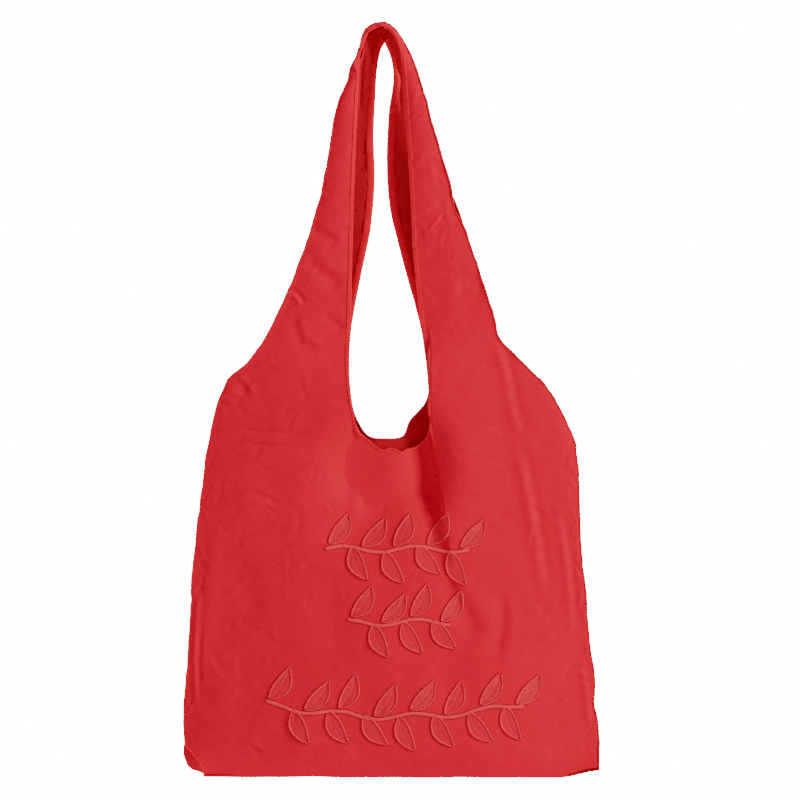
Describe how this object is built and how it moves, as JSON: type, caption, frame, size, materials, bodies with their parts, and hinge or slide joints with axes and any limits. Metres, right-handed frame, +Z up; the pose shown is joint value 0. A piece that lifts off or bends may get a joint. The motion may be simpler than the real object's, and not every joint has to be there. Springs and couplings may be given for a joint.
{
  "type": "foldable tote bag",
  "caption": "Lined nylon shoulder tote with a narrow scooped mouth, two handles cut in one with the panels, boxed base corners and a fold line for packing small.",
  "frame": {"origin": "the point under the tops of both handle loops where a hook or peg bears, on the middle plane of the bag", "axes": "+X to the wearer's right seen from the front panel, +Y from the front panel to the back panel, +Z up along the hanging bag"},
  "size_m": [0.406, 0.0411, 0.7289],
  "materials": {
    "nylon": "crinkled plain-weave nylon with a low sheen",
    "lining": "smooth plain-weave nylon",
    "edge_binding": "turned and topstitched nylon edge",
    "thread": "satin-stitched polyester thread",
    "snap_metal": "satin nickel plate"
  },
  "bodies": {
    "bag_body": {"front_panel_upper": "nylon", "back_panel_upper": "nylon", "front_lining_upper": "lining", "back_lining_upper": "lining", "front_mouth_binding": "edge_binding", "back_mouth_binding": "edge_binding", "left_side_seam_upper": "nylon", "right_side_seam_upper": "nylon", "snap_socket": "snap_metal", "snap_stud": "snap_metal", "snap_front_washer": "snap_metal", "snap_back_washer": "snap_metal", "embroidery_top_row": "thread", "embroidery_middle_row": "thread"},
    "lower_body": {"front_panel_lower": "nylon", "back_panel_lower": "nylon", "front_lining_lower": "lining", "back_lining_lower": "lining", "base_panel": "nylon", "base_lining": "lining", "left_corner_facet": "nylon", "right_corner_facet": "nylon", "left_side_seam_lower": "nylon", "right_side_seam_lower": "nylon", "embroidery_bottom_row": "thread"},
    "front_handle": {"front_strap_left": "nylon", "front_strap_right": "nylon", "front_strap_lining_left": "lining", "front_strap_lining_right": "lining", "front_handle_inner_binding": "edge_binding", "front_handle_outer_binding": "edge_binding", "front_handle_top_seam": "edge_binding"},
    "back_handle": {"back_strap_left": "nylon", "back_strap_right": "nylon", "back_strap_lining_left": "lining", "back_strap_lining_right": "lining", "back_handle_inner_binding": "edge_binding", "back_handle_outer_binding": "edge_binding", "back_handle_top_seam": "edge_binding"}
  },
  "joints": [
    {"name": "front_handle_fold", "type": "hinge", "parent": "bag_body", "child": "front_handle", "pos_m": [0, -0.0135, -0.311], "axis": [1, 0, 0], "range_deg": [0, 150]},
    {"name": "back_handle_fold", "type": "hinge", "parent": "bag_body", "child": "back_handle", "pos_m": [0, 0.0135, -0.311], "axis": [-1, 0, 0], "range_deg": [0, 170]},
    {"name": "lower_fold", "type": "hinge", "parent": "bag_body", "child": "lower_body", "pos_m": [0, -0.0218, -0.596], "axis": [-1, 0, 0], "range_deg": [0, 172]}
  ]
}
